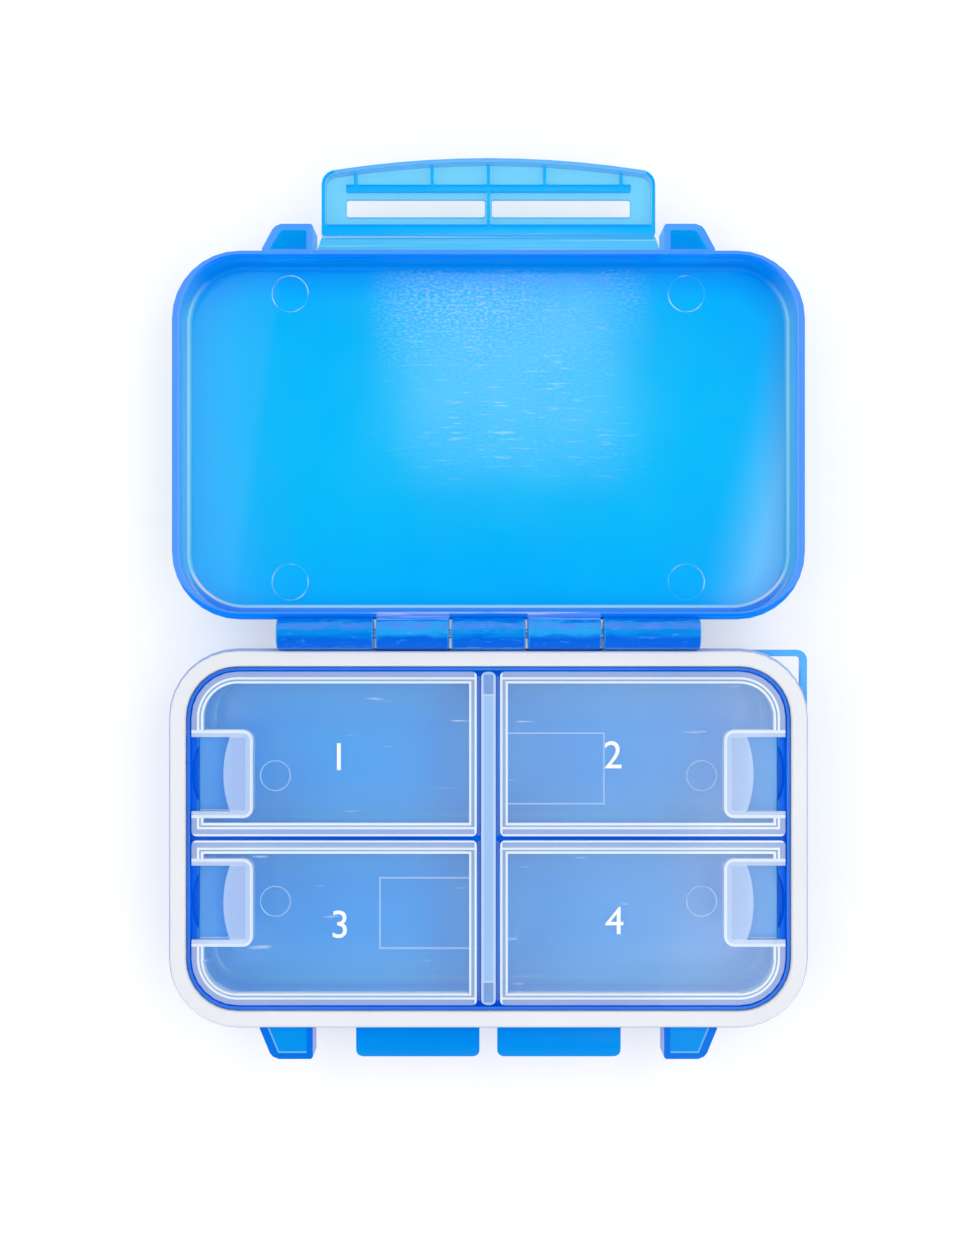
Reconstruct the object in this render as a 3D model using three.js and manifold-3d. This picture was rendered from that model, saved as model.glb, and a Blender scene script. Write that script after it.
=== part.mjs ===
// Pill organizer with four compartments, shown with its main lid swung fully open.
// Millimetres, Z up. X runs along the box, Y from the latch side to the hinge side.
// The origin is at the centre of the flat underside of the base.
import * as THREE from "three";
import { mergeVertices } from "three/addons/utils/BufferGeometryUtils.js";
import Module from "manifold-3d";

const wasm = await Module();
wasm.setup();

// Base, seen from above and in section
const BASE_LENGTH = 107;
const BASE_WIDTH = 63.5;
const BASE_CORNER = 11.6; // radius of the corners seen from above
const BASE_DRAFT = 0.3; // how much the sides lean in towards the bottom
const SEAT_HEIGHT = 17; // rim that carries the seal
const SEAT_THICKNESS = 2.4; // of that rim, over the hollow between the two walls
const SKIRT = 1.5; // outer wall
const PAN_WALL = 1.3; // wall of the wells
const FLOOR = 1.5;
const WELL_INSET = 4.75; // from the outside of the base to the wells
const STEP_WIDTH = 1.1; // of the step around the wells that the inner lids lie on
const WELL_CORNER = 1; // upright corners of a well, other than the outer one
const WELL_FILLET = 1.5; // between the floor and the walls of a well
const UPSTAND = 0.5; // thickness of the low wall inside the seal
const UPSTAND_HEIGHT = 0.7; // over the rim
const STEP_DEPTH = 0.5; // of that step under the rim
const CROSS_WALL = 2.54; // wall along X between the wells
const DIVIDER = 3.5; // wall along Y between the wells, both halves and the slot
const DIVIDER_SLOT = 1.5;
const CORE = 0.9; // hollow inside the wall along X, open below
const RIB = 1.2; // stiffening ribs between the two walls
const SCOOP_LENGTH = 9; // thumb scoop in the step beside each finger pocket
const SCOOP_BULGE = 1; // into the wall
const SCOOP_DEPTH = 1.6;

// Seal
const SEAL_INSET = 0.42; // from the outside of the base
const SEAL_WIDTH = 2.56;
const SEAL_HEIGHT = 1.75;
const SEAL_ROUND = 0.4; // rounding of its edges
const FOOT_WIDTH = 0.9;
const FOOT_DEPTH = 1;

// Main hinge
const KNUCKLE_RADIUS = 2.7;
const KNUCKLE_ROOM = 0.3; // between a knuckle and the wall of the other half
const KNUCKLE_GAP = 0.4; // between neighbouring knuckles
const KNUCKLE_ROUND = 0.35; // rounding of their ends
const PIN_RADIUS = 0.75;
const BORE_RADIUS = 0.85;
const MIDDLE_KNUCKLE = 12.3; // length of the knuckle in the middle
const LID_KNUCKLE = 12.2; // length of each of the two of the lid
const OUTER_KNUCKLE = 16.15; // length of the two at the ends
const HINGE_OUT = 2.45; // from the back of the base to the axis
const HINGE_UP = 0.9; // from the rim of the base to the axis

// Main lid
const LID_INSET = 0.4; // sides of the closed lid behind those of the base
const LID_SETBACK = 1.68; // front of the closed lid behind that of the base
const LID_HEIGHT = 10;
const LID_WALL = 1.3;
const LID_PLATE = 1.4;
const LID_EDGE = 3; // rounding around its flat outside
const LID_FILLET = 1; // inside, between the plate and the walls
const LID_CROWN = 0.5; // rounding of both edges of its rim
const LID_RIM_DROP = 1.1; // rim of the open lid under the axis
const LID_BACK_OUT = 2.38; // back of the open lid beyond the axis

// Latch
const FILM_SPAN = 2.6; // from the lid to the latch
const FILM_THICKNESS = 0.45;
const FILM_DROP = 0.9; // top of the film under the rim of the open lid
const LATCH_AXIS_UP = 0.68; // axis that the bent film turns about, over its top
const FLAP_HALF = 28.05; // half its length along X
const FLAP_REACH = 13.03; // from root to tip in the middle
const FLAP_BOW = 2.35; // how much less that is at the sides
const FLAP_CORNER = 2.5;
const FLAP_DEPTH = 4;
const FLAP_PLATE = 1;
const FLAP_WALL = 0.7;
const FLAP_ROOT_WALL = 1.9; // thick bar that the film grips
const WINDOW_CLEAR = 0.365; // above and below a catch block in its window
const WINDOW_CLEAR_MIDDLE = 0.9; // beside a block, towards the middle
const WINDOW_CLEAR_END = 1.65; // beside it, towards the end
const WINDOW_CORNER = 0.35;
const FLAP_RAIL = 1.05; // rib along the windows
const FLAP_RIB = 0.5; // ribs from there to the tip

// Catch blocks and guard lugs
const CATCH_START = 1.5;
const CATCH_END = 22.35;
const CATCH_REACH = 5.7;
const CATCH_BOTTOM = 11.7;
const CATCH_TOP = 13.9;
const CATCH_CORNER = 1.2; // rounding of its front corners seen from above
const CATCH_LEAD = 2.2; // length of the slope that the latch rides up on
const LUG_CLEAR = 1.4; // between the latch and the lugs beside it
const LUG_LENGTH = 8.5;
const LID_LUG_REACH = 4.4;
const BASE_LUG_REACH = 5.35;
const BASE_LUG_BOTTOM = 8.6;
const BASE_LUG_TOP = 16.5;
const LUG_WALL = 1.05;

// Lanyard loop
const LOOP_BAR = 1.1;
const LOOP_TOP = 15.9;
const LOOP_HEIGHT = 2;
const LOOP_LENGTH = 11;

// Inner lids
const FLAT = 1; // thickness of their plates and of the spine
const INNER_CLEAR = 0.23; // around an inner lid and around its ribs in the well
const HINGE_CLEAR = 0.2; // between those ribs and the divider
const INNER_GAP = 0.74; // between two inner lids that lie side by side
const INNER_CORNER = 0.8;
const PLUG_DEPTH = 2.3; // of the ribs under the plate
const PLUG_RIB = 0.7;
const PLUG_HINGE_RIB = 1.2;
const POCKET_MIDDLE = 10.74; // from the middle of the box to that of a finger pocket
const POCKET_LENGTH = 14.7; // along Y, outside
const POCKET_REACH = 10.25; // from the outer end of the lid to the closed end of the pocket
const POCKET_WALL = 1.25;
const POCKET_FLOOR = 0.8;
const POCKET_CORNER = 1.7;
const TAB_REACH = 2.6;
const TAB_BOW = 1.1;
const TAB_THICKNESS = 0.8;
const HINGE_FILM = 0.3;
const SPINE_HALF = 1.25;
const TONGUE_CLEAR = 0.2; // on each side of the tongue in the slot of the divider
const TONGUE_DEPTH = 3.5;
const PEG_LENGTH = 3.7;
const PEG_DEPTH = 7;

// Sizes that follow from those above
const halfX = BASE_LENGTH / 2;
const halfY = BASE_WIDTH / 2;
const wellX = halfX - WELL_INSET;
const wellY = halfY - WELL_INSET;
const stepZ = SEAT_HEIGHT - STEP_DEPTH;
const upstandZ = SEAT_HEIGHT + UPSTAND_HEIGHT;
const hingeY = halfY + HINGE_OUT;
const hingeZ = SEAT_HEIGHT + HINGE_UP;
const roomRadius = KNUCKLE_RADIUS + KNUCKLE_ROOM;
const lidHalf = halfX - LID_INSET;
const lidBack = hingeY + LID_BACK_OUT;
const lidFront = 2 * hingeY + halfY - LID_SETBACK;
const lidTop = hingeZ - LID_RIM_DROP;
const lidBottom = lidTop - LID_HEIGHT;
const flapRoot = lidFront + FILM_SPAN;
const flapTop = lidTop - FILM_DROP;
const flapBottom = flapTop - FLAP_DEPTH;
const closedRoot = 2 * hingeZ - flapTop - LATCH_AXIS_UP - FILM_SPAN / 2;
const windowStart = closedRoot - CATCH_TOP - WINDOW_CLEAR;
const windowEnd = closedRoot - CATCH_BOTTOM + WINDOW_CLEAR;
const lugStart = FLAP_HALF + LUG_CLEAR;
const innerInset = WELL_INSET - STEP_WIDTH + INNER_CLEAR;
const plugInset = WELL_INSET + INNER_CLEAR;
const innerX = halfX - innerInset;
const innerY = halfY - innerInset;
const innerStartX = DIVIDER / 2 + HINGE_CLEAR;
const innerStartY = INNER_GAP / 2;
const flatBottom = upstandZ - FLAT;
const plugBottom = flatBottom - PLUG_DEPTH;
const pocketX = innerX - POCKET_REACH;

// Ranges along X of the knuckles, on the right of the middle one
const lidKnuckleStart = MIDDLE_KNUCKLE / 2 + KNUCKLE_GAP;
const lidKnuckleEnd = lidKnuckleStart + LID_KNUCKLE;
const outerStart = lidKnuckleEnd + KNUCKLE_GAP;
const outerEnd = outerStart + OUTER_KNUCKLE;

// Solids

// A solid from vertex positions and triangles, with vertices at the same place made one.
function solid(position, index) {
  const loose = new THREE.BufferGeometry();
  loose.setAttribute("position", new THREE.Float32BufferAttribute(position, 3));
  loose.setIndex(index);
  const merged = mergeVertices(loose, 1e-4);
  const kept = [];
  for (let i = 0; i < merged.index.count; i += 3) {
    const [a, b, c] = merged.index.array.slice(i, i + 3);
    if (a !== b && b !== c && c !== a) kept.push(a, b, c);
  }
  return new wasm.Manifold(
    new wasm.Mesh({
      numProp: 3,
      vertProperties: merged.getAttribute("position").array,
      triVerts: new Uint32Array(kept),
    }),
  );
}

// Points of a rectangle with rounded corners, anticlockwise from its lower left corner.
function rounded(x0, x1, y0, y1, radius, steps = 8) {
  const [a, b, c, d] = Array.isArray(radius) ? radius : [radius, radius, radius, radius];
  const centres = [
    [x0 + a, y0 + a, a, 180],
    [x1 - b, y0 + b, b, 270],
    [x1 - c, y1 - c, c, 0],
    [x0 + d, y1 - d, d, 90],
  ];
  return centres.flatMap(([x, y, r, from]) => arc(x, y, r, from, from + 90, steps));
}

// Points of an arc, with angles in degrees.
function arc(x, y, r, from, to, steps) {
  return Array.from({ length: steps + 1 }, (_, i) => {
    const t = THREE.MathUtils.degToRad(from + ((to - from) * i) / steps);
    return [x + r * Math.cos(t), y + r * Math.sin(t)];
  });
}

// A closed body through rings of points, from the lowest up. Each ring is [points, z].
function loft(rings) {
  const count = rings[0][0].length;
  const position = rings.flatMap(([points, z]) => points.flatMap(([x, y]) => [x, y, z]));
  const index = [];
  for (let k = 0; k + 1 < rings.length; k++) {
    for (let i = 0; i < count; i++) {
      const a = k * count + i;
      const b = k * count + ((i + 1) % count);
      index.push(a, b, b + count, a, b + count, a + count);
    }
  }
  const last = (rings.length - 1) * count;
  for (const [a, b, c] of faces(rings[0][0])) index.push(a, c, b);
  for (const [a, b, c] of faces(rings[rings.length - 1][0])) {
    index.push(last + a, last + b, last + c);
  }
  return solid(position, index);
}

// Triangles that fill an outline.
function faces(points) {
  const outline = points.map(([x, y]) => new THREE.Vector2(x, y));
  return THREE.ShapeUtils.triangulateShape(outline, []);
}

// A flat outline raised from one height to another.
function prism(points, z0, z1) {
  const clockwise = THREE.ShapeUtils.area(points.map(([x, y]) => ({ x, y }))) < 0;
  const outline = clockwise ? [...points].reverse() : points;
  return loft([
    [outline, z0],
    [outline, z1],
  ]);
}

// An outline in Y and Z, run along X.
function profile(points, x0, x1) {
  return turned(prism(points, x0, x1));
}

// The same solid with X, Y and Z each moved on to the next axis.
function turned(body) {
  const { vertProperties: v, triVerts } = body.getMesh();
  const position = [];
  for (let i = 0; i < v.length; i += 3) position.push(v[i + 2], v[i], v[i + 1]);
  return solid(position, Array.from(triVerts));
}

// The mirror image of a solid across the planes x = 0 and y = 0, for each sign that is -1.
function mirrored(body, signX, signY = 1) {
  const { vertProperties: v, triVerts: t } = body.getMesh();
  const position = [];
  for (let i = 0; i < v.length; i += 3) position.push(signX * v[i], signY * v[i + 1], v[i + 2]);
  const index = [];
  const swap = signX * signY < 0;
  for (let i = 0; i < t.length; i += 3) {
    index.push(t[i], swap ? t[i + 2] : t[i + 1], swap ? t[i + 1] : t[i + 2]);
  }
  return solid(position, index);
}

function box(x0, x1, y0, y1, z0, z1) {
  const points = [
    [x0, y0],
    [x1, y0],
    [x1, y1],
    [x0, y1],
  ];
  return prism(points, z0, z1);
}

// A round bar along X on the axis of the main hinge.
function hingeBar(radius, x0, x1, steps = 24) {
  return profile(hingeCircle(radius, steps), x0, x1);
}

// A circle around that axis, in Y and Z.
function hingeCircle(radius, steps = 24) {
  return arc(hingeY, hingeZ, radius, 0, 360 - 360 / steps, steps - 1);
}

// A knuckle with rounded ends.
function knuckle(x0, x1) {
  const end = roundedEdge(KNUCKLE_ROUND, 2);
  const ring = (inset, x) => [hingeCircle(KNUCKLE_RADIUS - inset), x];
  return turned(
    loft([
      ...end.map(([inset, along]) => ring(inset, x0 + along)),
      ...end.map(([inset, along]) => ring(inset, x1 - along)).reverse(),
    ]),
  );
}

// A solid and its mirror image across the middle of the box.
function pair(body) {
  return body.add(mirrored(body, -1));
}

// A body whose section, a list of [inset, z], stays the same all around an outline.
function band(outline, section) {
  const backwards = THREE.ShapeUtils.area(section.map(([x, y]) => ({ x, y }))) > 0;
  const drawn = backwards ? [...section].reverse() : section;
  const rings = drawn.map(([inset, z]) => outline(inset).map(([x, y]) => [x, y, z]));
  const count = rings[0].length;
  const index = [];
  for (let k = 0; k < rings.length; k++) {
    const next = ((k + 1) % rings.length) * count;
    for (let i = 0; i < count; i++) {
      const a = k * count + i;
      const b = k * count + ((i + 1) % count);
      const c = next + i;
      const d = next + ((i + 1) % count);
      index.push(a, b, d, a, d, c);
    }
  }
  return solid(rings.flat(2), index);
}

// Outline of the base from above, drawn in by an inset.
function baseOutline(inset) {
  const radius = Math.max(BASE_CORNER - inset, 0.5);
  return rounded(-halfX + inset, halfX - inset, -halfY + inset, halfY - inset, radius);
}

// Outline of the open lid from above, drawn in by an inset.
function lidOutline(inset) {
  const radius = Math.max(BASE_CORNER - LID_INSET + 0.2 - inset, 0.5);
  return rounded(-lidHalf + inset, lidHalf - inset, lidBack + inset, lidFront - inset, radius);
}

// Insets and heights that round an edge of the given radius, from the flat face outwards.
function roundedEdge(radius, steps = 4) {
  return Array.from({ length: steps + 1 }, (_, i) => {
    const t = (Math.PI / 2) * (i / steps);
    return [radius * (1 - Math.sin(t)), radius * (1 - Math.cos(t))];
  });
}

// Base

// The part of the hollow under the rim that stays open between the stiffening ribs.
function rimHollow() {
  const top = SEAT_HEIGHT - SEAT_THICKNESS;
  const hollow = prism(baseOutline(SKIRT), -1, top).subtract(
    prism(baseOutline(WELL_INSET - PAN_WALL), -2, top + 1),
  );
  const ribsAlong = [0.15, 0.45, 0.75].flatMap((share) => {
    const x = share * halfX;
    return [
      box(x - RIB / 2, x + RIB / 2, -halfY, halfY, -2, top + 1),
      box(-x - RIB / 2, -x + RIB / 2, -halfY, halfY, -2, top + 1),
    ];
  });
  const ribsAcross = [0.35, -0.35].map((share) => {
    const y = share * halfY;
    return box(-halfX, halfX, y - RIB / 2, y + RIB / 2, -2, top + 1);
  });
  return [...ribsAlong, ...ribsAcross].reduce((open, rib) => open.subtract(rib), hollow);
}

// The well on the right at the back, with a rounded foot to its walls.
function well() {
  const x0 = DIVIDER / 2;
  const y0 = CROSS_WALL / 2;
  const outer = BASE_CORNER - WELL_INSET;
  const ring = (inset, z) => {
    const small = Math.max(WELL_CORNER - inset, 0.2);
    const radii = [small, small, outer - inset, small];
    return [rounded(x0 + inset, wellX - inset, y0 + inset, wellY - inset, radii, 6), z];
  };
  const foot = roundedEdge(WELL_FILLET, 3).map(([inset, up]) => ring(inset, FLOOR + up));
  return loft([...foot, ring(0, SEAT_HEIGHT + 2)]);
}

// A shallow hollow for a finger in the step beside the pocket of an inner lid.
function thumbScoop() {
  const halfChord = SCOOP_LENGTH / 2;
  const bulge = SCOOP_BULGE;
  const radius = (halfChord ** 2 + bulge ** 2) / (2 * bulge);
  const reach = THREE.MathUtils.radToDeg(Math.asin(halfChord / radius));
  const bow = arc(wellX + bulge - radius, POCKET_MIDDLE, radius, -reach, reach, 8);
  const inside = [
    [wellX - 1, POCKET_MIDDLE + halfChord],
    [wellX - 1, POCKET_MIDDLE - halfChord],
  ];
  return prism([...bow, ...inside], stepZ - SCOOP_DEPTH, SEAT_HEIGHT + 1);
}

// Block at the front of the base that snaps into a window of the latch, on the right.
function catchBlock() {
  const out = -halfY - CATCH_REACH;
  const section = [
    [-halfY + 0.7, CATCH_BOTTOM],
    [-halfY + 0.7, CATCH_TOP],
    [out + CATCH_LEAD, CATCH_TOP],
    [out + CATCH_LEAD / 4, CATCH_TOP - 0.75],
    [out, CATCH_TOP - 1.2],
    [out, CATCH_BOTTOM + 0.4],
    [out + 0.4, CATCH_BOTTOM],
  ];
  const corners = [CATCH_CORNER, CATCH_CORNER, 0.2, 0.2];
  const plan = rounded(CATCH_START, CATCH_END, out, -halfY + 0.7, corners, 5);
  return profile(section, CATCH_START - 1, CATCH_END + 1).intersect(prism(plan, 0, SEAT_HEIGHT));
}

// Outline of a lug on the right, seen from above with the wall below it at distance 0.
function lugOutline(reach, length) {
  const end = lugStart + length;
  return [
    [lugStart, -0.7],
    [end, -0.7],
    [end, 0.25],
    [end - 1.7, reach - 1],
    [end - 2.2, reach - 0.4],
    [end - 3.2, reach],
    [lugStart + 0.3, reach],
    [lugStart, reach - 0.3],
  ];
}

// Outline of the hollow in that lug.
function lugHollow(reach, length) {
  const end = lugStart + length;
  return [
    [lugStart + LUG_WALL, 0.15],
    [end - LUG_WALL - 0.25, 0.15],
    [end - LUG_WALL - 1.75, reach - LUG_WALL - 0.6],
    [end - LUG_WALL - 2.35, reach - LUG_WALL],
    [lugStart + LUG_WALL, reach - LUG_WALL],
  ];
}

// Guard lug beside the latch at the front of the base, open below.
function baseLug() {
  const place = (points) => points.map(([x, y]) => [x, -halfY - y]);
  const outside = prism(
    place(lugOutline(BASE_LUG_REACH, LUG_LENGTH + 0.4)),
    BASE_LUG_BOTTOM,
    BASE_LUG_TOP,
  );
  const hollow = prism(
    place(lugHollow(BASE_LUG_REACH, LUG_LENGTH + 0.4)),
    BASE_LUG_BOTTOM - 1,
    BASE_LUG_TOP - 1.2,
  );
  return outside.subtract(hollow);
}

// Thin bar around the corner at the right of the back, to tie a lanyard to.
function lanyardLoop() {
  const outX = halfX;
  const outY = halfY - 0.25;
  const inX = outX - LOOP_BAR;
  const inY = outY - LOOP_BAR;
  const bar = [
    [inX, outY - LOOP_LENGTH],
    [outX, outY - LOOP_LENGTH],
    ...arc(outX - 1.7, outY - 1.7, 1.7, 0, 90, 5),
    [outX - LOOP_LENGTH, outY],
    [outX - LOOP_LENGTH, inY],
    ...arc(inX - 0.6, inY - 0.6, 0.6, 90, 0, 3),
  ];
  return prism(bar, LOOP_TOP - LOOP_HEIGHT, LOOP_TOP);
}

// Web that carries a knuckle of the base on its back wall.
function baseWeb(x0, x1) {
  const side = KNUCKLE_RADIUS * Math.SQRT1_2;
  const points = [
    [halfY - 0.8, hingeZ - 5.9],
    [halfY, hingeZ - 5.9],
    [hingeY + side, hingeZ - side],
    [hingeY, hingeZ],
    [halfY, SEAT_HEIGHT],
    [halfY - 0.8, SEAT_HEIGHT],
  ];
  return profile(points, x0, x1);
}

function makeBase() {
  const edge = roundedEdge(0.5, 3).map(([inset, up]) => [baseOutline(BASE_DRAFT + inset), up]);
  let body = loft([
    ...edge,
    [baseOutline(0), SEAT_HEIGHT - 0.2],
    [baseOutline(0.15), SEAT_HEIGHT],
  ]);

  const upstandInset = WELL_INSET - STEP_WIDTH - UPSTAND;
  body = body
    .add(prism(baseOutline(upstandInset), SEAT_HEIGHT - 1, upstandZ))
    .subtract(prism(baseOutline(upstandInset + UPSTAND), stepZ, upstandZ + 1));

  // Fastenings at the front: blocks and lugs
  body = body.add(pair(catchBlock())).add(pair(baseLug()));
  body = body.add(lanyardLoop());

  // Wells, and the hollows that keep the walls thin
  const right = well().add(mirrored(well(), 1, -1));
  const scoops = thumbScoop().add(mirrored(thumbScoop(), 1, -1));
  body = body.subtract(pair(right)).subtract(pair(scoops)).subtract(rimHollow());
  const slot = DIVIDER_SLOT / 2;
  body = body.subtract(box(-slot, slot, -wellY, wellY, FLOOR, SEAT_HEIGHT + 1));
  const core = box(3, wellX - 1.2, -CORE / 2, CORE / 2, -1, SEAT_HEIGHT - 3);
  body = body.subtract(pair(core));

  // Groove for the foot of the seal
  const middle = SEAL_INSET + SEAL_WIDTH / 2;
  const groove = [
    [middle - FOOT_WIDTH / 2 - 0.2, SEAT_HEIGHT + 1],
    [middle - FOOT_WIDTH / 2 - 0.2, SEAT_HEIGHT - FOOT_DEPTH - 0.2],
    [middle + FOOT_WIDTH / 2 + 0.2, SEAT_HEIGHT - FOOT_DEPTH - 0.2],
    [middle + FOOT_WIDTH / 2 + 0.2, SEAT_HEIGHT + 1],
  ];
  body = body.subtract(band(baseOutline, groove));

  // Room for the knuckles of the lid, then the knuckles of the base
  const gap = KNUCKLE_GAP / 2;
  body = body.subtract(pair(hingeBar(roomRadius, lidKnuckleStart - gap, lidKnuckleEnd + gap)));
  const middleHalf = MIDDLE_KNUCKLE / 2;
  body = body
    .add(knuckle(-middleHalf, middleHalf))
    .add(baseWeb(-middleHalf, middleHalf))
    .add(pair(knuckle(outerStart, outerEnd).add(baseWeb(outerStart, outerEnd))));
  return body.subtract(hingeBar(BORE_RADIUS, -outerEnd - 1, outerEnd + 1));
}

// Seal
function makeSeal() {
  const z0 = SEAT_HEIGHT + 0.05;
  const z1 = SEAT_HEIGHT + SEAL_HEIGHT + 0.05;
  const out = SEAL_INSET;
  const inside = SEAL_INSET + SEAL_WIDTH;
  const middle = (out + inside) / 2;
  const foot = SEAT_HEIGHT - FOOT_DEPTH;
  const r = SEAL_ROUND;
  return band(baseOutline, [
    [out, z1 - r],
    [out, z0],
    [middle - FOOT_WIDTH / 2, z0],
    [middle - FOOT_WIDTH / 2, foot],
    [middle + FOOT_WIDTH / 2, foot],
    [middle + FOOT_WIDTH / 2, z0],
    [inside, z0],
    [inside, z1 - r],
    [inside - r * 0.3, z1 - r * 0.3],
    [inside - r, z1],
    [out + r, z1],
    [out + r * 0.3, z1 - r * 0.3],
  ]);
}

// Spine of the inner lids
function makeSpine() {
  const end = innerY;
  const bar = prism(rounded(-SPINE_HALF, SPINE_HALF, -end, end, 1, 4), flatBottom, upstandZ);
  const half = DIVIDER_SLOT / 2 - TONGUE_CLEAR;
  const tongueEnd = wellY - 0.5;
  const tongue = box(
    -half,
    half,
    -tongueEnd,
    tongueEnd,
    flatBottom - TONGUE_DEPTH,
    flatBottom + FLAT / 2,
  );
  const pegStart = tongueEnd - PEG_LENGTH;
  const peg = box(-half, half, pegStart, tongueEnd, flatBottom - PEG_DEPTH, flatBottom);
  return bar.add(tongue).add(peg).add(mirrored(peg, 1, -1));
}

// Inner lid on the right at the back
function makeInnerLid() {
  const outer = BASE_CORNER - innerInset;
  const plan = (x0, x1, y0, y1, small, large) => {
    return rounded(x0, x1, y0, y1, [small, small, large, small], 6);
  };
  const plate = prism(
    plan(innerStartX, innerX, innerStartY, innerY, INNER_CORNER, outer),
    flatBottom,
    upstandZ,
  );

  // Ribs that plug the well
  const ribX = halfX - plugInset;
  const ribY0 = CROSS_WALL / 2 + HINGE_CLEAR;
  const ribY1 = halfY - plugInset;
  const ribCorner = BASE_CORNER - plugInset;
  const ribs = prism(
    plan(innerStartX, ribX, ribY0, ribY1, 0.6, ribCorner),
    plugBottom,
    flatBottom + FLAT / 2,
  ).subtract(
    prism(
      plan(
        innerStartX + PLUG_HINGE_RIB,
        ribX - PLUG_RIB,
        ribY0 + PLUG_RIB,
        ribY1 - PLUG_RIB,
        0.5,
        ribCorner - PLUG_RIB,
      ),
      plugBottom - 1,
      flatBottom,
    ),
  );

  // Finger pocket, open towards the outer end
  const half = POCKET_LENGTH / 2;
  const r = POCKET_CORNER;
  const pocket = prism(
    rounded(pocketX, innerX + 2, POCKET_MIDDLE - half, POCKET_MIDDLE + half, [r, 0.2, 0.2, r], 4),
    plugBottom,
    upstandZ,
  ).intersect(box(0, ribX, 0, halfY, 0, upstandZ + 1));
  const wallHalf = half - POCKET_WALL + 0.1;
  const openX = pocketX + POCKET_WALL;
  const s = r - 0.6;
  const opening = prism(
    rounded(openX, innerX + 3, POCKET_MIDDLE - wallHalf, POCKET_MIDDLE + wallHalf, [s, 0.2, 0.2, s], 4),
    plugBottom + POCKET_FLOOR,
    upstandZ + 1,
  );
  const tabHalf = wallHalf - 0.02;
  const bow = arc(
    openX + TAB_REACH + TAB_BOW - bowRadius(tabHalf),
    POCKET_MIDDLE,
    bowRadius(tabHalf),
    -bowAngle(tabHalf),
    bowAngle(tabHalf),
    8,
  );
  const tab = prism(
    [
      ...bow,
      [openX - 0.4, POCKET_MIDDLE + wallHalf + 0.2],
      [openX - 0.4, POCKET_MIDDLE - wallHalf - 0.2],
    ],
    upstandZ - TAB_THICKNESS,
    upstandZ,
  );
  return plate.add(ribs).add(pocket).subtract(opening).add(tab);
}

// Radius and half angle of the bowed edge of the nail tab over its half length.
function bowRadius(half) {
  return (half ** 2 + TAB_BOW ** 2) / (2 * TAB_BOW);
}

function bowAngle(half) {
  return THREE.MathUtils.radToDeg(Math.asin(half / bowRadius(half)));
}

// Thin film between the spine and that lid
function makeInnerFilm() {
  const clear = 0.1;
  const end = innerY - INNER_CORNER;
  return box(
    SPINE_HALF + clear,
    innerStartX - clear,
    innerStartY + clear,
    end,
    upstandZ - HINGE_FILM,
    upstandZ,
  );
}

// Main lid

// Web that carries a knuckle of the lid on its back wall.
function lidWeb(x0, x1) {
  const side = KNUCKLE_RADIUS * Math.SQRT1_2;
  const points = [
    [lidBack + 0.7, hingeZ - 5.9],
    [lidBack + 0.7, lidTop - 0.3],
    [lidBack, lidTop - 0.3],
    [hingeY, hingeZ],
    [hingeY - side, hingeZ - side],
    [lidBack, hingeZ - 5.9],
  ];
  return profile(points, x0, x1);
}

// Lug beside the latch at the front of the lid, open towards its rim.
function lidLug() {
  const place = (points) => points.map(([x, y]) => [x, lidFront + y]);
  const outside = prism(place(lugOutline(LID_LUG_REACH, LUG_LENGTH)), lidBottom, lidTop);
  const hollow = prism(place(lugHollow(LID_LUG_REACH, LUG_LENGTH)), lidTop - 6.3, lidTop + 1);
  return outside.subtract(hollow);
}

function makeLid() {
  const crown = roundedEdge(LID_CROWN, 3).reverse();
  const outside = roundedEdge(LID_EDGE, 5).map(([inset, up]) => {
    return [lidOutline(inset), lidBottom + up];
  });
  let body = loft([
    ...outside,
    ...crown.map(([inset, down]) => [lidOutline(inset), lidTop - down]),
  ]);
  body = body.add(pair(lidLug()));

  const inside = roundedEdge(LID_FILLET, 4).map(([inset, up]) => {
    return [lidOutline(LID_WALL + inset), lidBottom + LID_PLATE + up];
  });
  body = body.subtract(
    loft([
      ...inside,
      ...crown.map(([inset, down]) => [lidOutline(LID_WALL - inset), lidTop - down]),
      [lidOutline(LID_WALL - LID_CROWN), lidTop + 1],
    ]),
  );

  // Room for the knuckles of the base, then the knuckles of the lid
  const gap = KNUCKLE_GAP / 2;
  const middleHalf = MIDDLE_KNUCKLE / 2 + gap;
  body = body
    .subtract(hingeBar(roomRadius, -middleHalf, middleHalf))
    .subtract(pair(hingeBar(roomRadius, outerStart - gap, outerEnd + gap)));
  const carried = knuckle(lidKnuckleStart, lidKnuckleEnd).add(
    lidWeb(lidKnuckleStart, lidKnuckleEnd),
  );
  return body
    .add(pair(carried))
    .subtract(hingeBar(BORE_RADIUS, -lidKnuckleEnd - 1, lidKnuckleEnd + 1));
}

// Latch

// Outline of the latch from above, drawn in by one inset at the root and one elsewhere.
function flapOutline(inset, rootInset) {
  const side = FLAP_HALF - inset;
  const root = flapRoot + rootInset;
  const tip = (x) => flapRoot + FLAP_REACH - FLAP_BOW * (x / FLAP_HALF) ** 2 - inset;
  const r = Math.max(FLAP_CORNER - inset, 0.3);
  const corner = side - r;
  const steps = 10;
  const edge = Array.from({ length: steps - 1 }, (_, i) => {
    const x = corner * (1 - (2 * (i + 1)) / steps);
    return [x, tip(x)];
  });
  return [
    [-side, root + 0.3],
    [-side + 0.3, root],
    [side - 0.3, root],
    [side, root + 0.3],
    ...arc(corner, tip(corner) - r, r, 0, 90, 5),
    ...edge,
    ...arc(-corner, tip(corner) - r, r, 90, 180, 5),
  ];
}

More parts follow.
